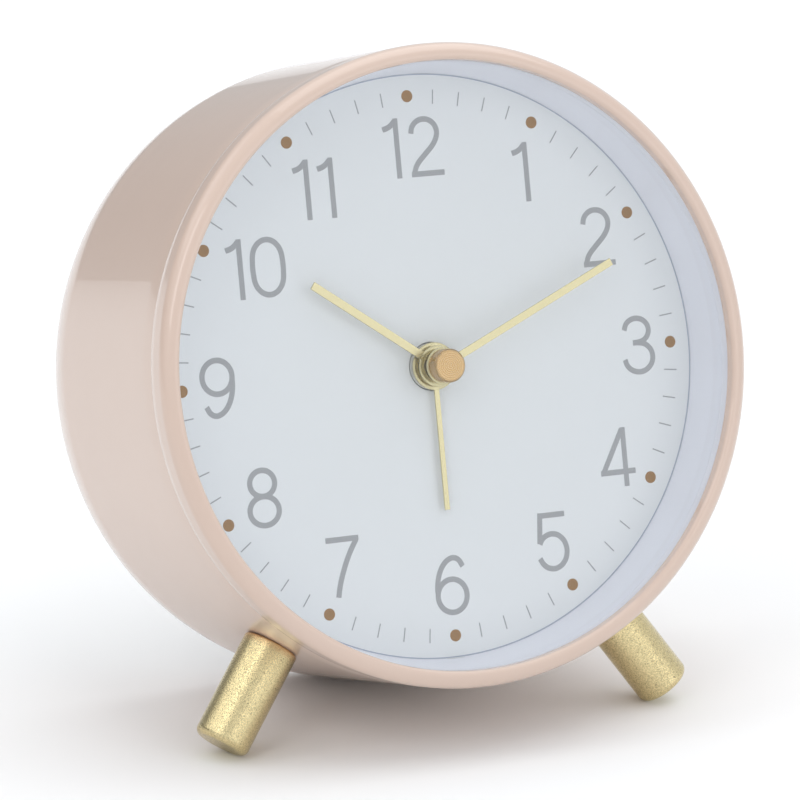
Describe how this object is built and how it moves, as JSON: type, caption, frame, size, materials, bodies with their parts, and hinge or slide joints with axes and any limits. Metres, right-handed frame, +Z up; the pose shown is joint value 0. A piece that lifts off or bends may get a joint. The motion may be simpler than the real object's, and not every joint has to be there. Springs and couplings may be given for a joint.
{
  "type": "alarm clock",
  "caption": "Round drum-cased bedside alarm clock with printed dial, hour, minute and alarm hands, quartz gear train and turned brass legs, leaning back on its drum.",
  "frame": {"origin": "on the table, under the middle of the clock's box", "axes": "+Z up, -Y towards the reader of the dial, +X to the reader's right"},
  "size_m": [0.09, 0.0668, 0.0969],
  "materials": {
    "case_paint": "gloss blush stove enamel",
    "clear_lens": "clear polished",
    "white_plastic": "satin white moulding",
    "dial_print": "matt white print",
    "antique_brass": "brushed antique plating",
    "pale_gold": "pale gold anodised",
    "grey_plastic": "moulded, light texture",
    "dark_plastic": "moulded",
    "gear_plastic": "acetal, natural",
    "steel": "zinc plated",
    "bright_brass": "turned",
    "board": "green solder mask",
    "copper": "enamelled copper wire",
    "cell_wrap": "plastic sleeve"
  },
  "bodies": {
    "case": {"alarm_contact_spring": "bright_brass", "back_cover": "grey_plastic", "battery_cell": "cell_wrap", "battery_contact": "steel", "battery_spring": "steel", "bezel_ring": "case_paint", "capacitor": "copper", "case_drum": "case_paint", "circuit_board": "board", "coil_bobbin": "dark_plastic", "coil_winding": "copper", "controller_chip": "dark_plastic", "cover_screws": "steel", "cover_tabs": "steel", "dial_carrier": "grey_plastic", "dial_plate": "dial_print", "left_leg": "antique_brass", "leg_screws": "steel", "leg_washers": "steel", "lens": "clear_lens", "middle_plate": "white_plastic", "mounting_screws": "steel", "movement_front_plate": "grey_plastic", "movement_housing": "grey_plastic", "movement_screws": "steel", "quartz_crystal": "steel", "right_leg": "antique_brass", "sounder_disc": "bright_brass", "spacer_ring": "white_plastic", "stator": "steel", "train_bridge": "white_plastic"},
    "minute_train": {"minute_arbor": "steel", "minute_hand": "pale_gold", "centre_cap": "bright_brass"},
    "hour_train": {"hour_wheel": "gear_plastic", "hour_hand": "pale_gold"},
    "time_set_train": {"minute_wheel": "gear_plastic", "time_set_knob": "dark_plastic"},
    "centre_wheel_body": {"centre_wheel": "gear_plastic"},
    "third_wheel_body": {"third_wheel": "gear_plastic"},
    "seconds_wheel_body": {"seconds_wheel": "gear_plastic"},
    "intermediate_wheel_body": {"intermediate_wheel": "gear_plastic"},
    "rotor_body": {"rotor": "steel"},
    "alarm_train": {"alarm_wheel": "gear_plastic", "alarm_hand": "pale_gold"},
    "alarm_set_train": {"alarm_pinion": "gear_plastic", "alarm_knob": "dark_plastic"},
    "alarm_switch_body": {"alarm_switch": "dark_plastic"},
    "battery_door_body": {"battery_door": "grey_plastic"}
  },
  "joints": [
    {"name": "minute_hand_turn", "type": "hinge", "parent": "case", "child": "minute_train", "pos_m": [0, -0.01127, 0.0512], "axis": [0, -0.9617, 0.2741], "continuous": true},
    {"name": "hour_hand_turn", "type": "hinge", "parent": "case", "child": "hour_train", "pos_m": [0, -0.01127, 0.0512], "axis": [0, -0.9617, 0.2741], "continuous": true},
    {"name": "time_set_turn", "type": "hinge", "parent": "case", "child": "time_set_train", "pos_m": [-0.01015, -0.01026, 0.05475], "axis": [0, -0.9617, 0.2741], "continuous": true},
    {"name": "seconds_wheel_turn", "type": "hinge", "parent": "case", "child": "seconds_wheel_body", "pos_m": [0.00736, -0.00764, 0.06394], "axis": [0, -0.9617, 0.2741], "continuous": true},
    {"name": "third_wheel_turn", "type": "hinge", "parent": "case", "child": "third_wheel_body", "pos_m": [0, -0.0088, 0.05985], "axis": [0, -0.9617, 0.2741], "continuous": true},
    {"name": "centre_wheel_turn", "type": "hinge", "parent": "case", "child": "centre_wheel_body", "pos_m": [0, -0.01127, 0.0512], "axis": [0, -0.9617, 0.2741], "continuous": true},
    {"name": "intermediate_wheel_turn", "type": "hinge", "parent": "case", "child": "intermediate_wheel_body", "pos_m": [0.00615, -0.00575, 0.07057], "axis": [0, -0.9617, 0.2741], "continuous": true},
    {"name": "rotor_turn", "type": "hinge", "parent": "case", "child": "rotor_body", "pos_m": [0.00017, -0.0056, 0.07107], "axis": [0, -0.9617, 0.2741], "continuous": true},
    {"name": "alarm_hand_turn", "type": "hinge", "parent": "case", "child": "alarm_train", "pos_m": [0, -0.01127, 0.0512], "axis": [0, -0.9617, 0.2741], "continuous": true},
    {"name": "alarm_set_turn", "type": "hinge", "parent": "case", "child": "alarm_set_train", "pos_m": [0.0115, -0.01012, 0.05522], "axis": [0, -0.9617, 0.2741], "continuous": true},
    {"name": "alarm_switch_slide", "type": "slide", "parent": "case", "child": "alarm_switch_body", "axis": [0, 0.2741, 0.9617], "range_m": [0, 0.003]},
    {"name": "battery_door_slide", "type": "slide", "parent": "case", "child": "battery_door_body", "axis": [0, 0.9617, -0.2741], "range_m": [0, 0.03]}
  ],
  "couplings": [
    {"joint": "hour_hand_turn", "follows": "minute_hand_turn", "ratio": 0.083333},
    {"joint": "time_set_turn", "follows": "minute_hand_turn", "ratio": -0.33333},
    {"joint": "third_wheel_turn", "follows": "seconds_wheel_turn", "ratio": -0.13333},
    {"joint": "centre_wheel_turn", "follows": "seconds_wheel_turn", "ratio": 0.016667},
    {"joint": "intermediate_wheel_turn", "follows": "seconds_wheel_turn", "ratio": -6},
    {"joint": "rotor_turn", "follows": "seconds_wheel_turn", "ratio": 30},
    {"joint": "alarm_set_turn", "follows": "alarm_hand_turn", "ratio": -2.4}
  ]
}
